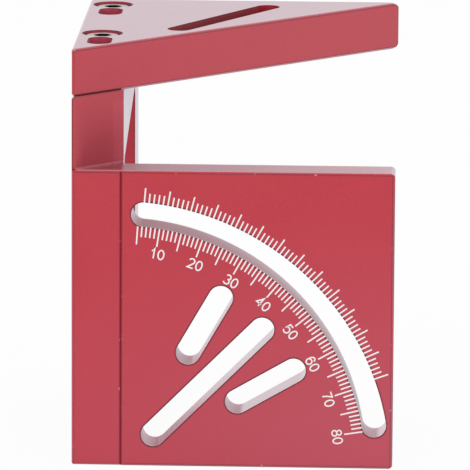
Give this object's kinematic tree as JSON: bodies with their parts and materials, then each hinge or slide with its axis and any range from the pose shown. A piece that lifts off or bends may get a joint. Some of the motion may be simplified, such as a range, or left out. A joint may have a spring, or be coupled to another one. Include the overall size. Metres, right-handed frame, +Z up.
{
  "type": "multi-angle marking gauge",
  "caption": "Rigid corner of screwed aluminium plates: a protractor plate with an arc slot and angle slots, a side plate and a 45 degree top plate, for marking out angles.",
  "frame": {"origin": "on the base, under the middle of the part's bounding box", "axes": "+Z up, -Y towards the protractor face, +X from the side plate towards the protractor plate's free edge"},
  "size_m": [0.0654, 0.0658, 0.086],
  "materials": {
    "anodised_plate": "satin red anodised",
    "screw_steel": "bright zinc plated"
  },
  "bodies": {
    "root": {"side_plate": "anodised_plate", "front_plate": "anodised_plate", "top_plate": "anodised_plate", "top_screw_front": "screw_steel", "top_screw_rear": "screw_steel", "side_screw_lower": "screw_steel", "side_screw_upper": "screw_steel"}
  },
  "joints": []
}
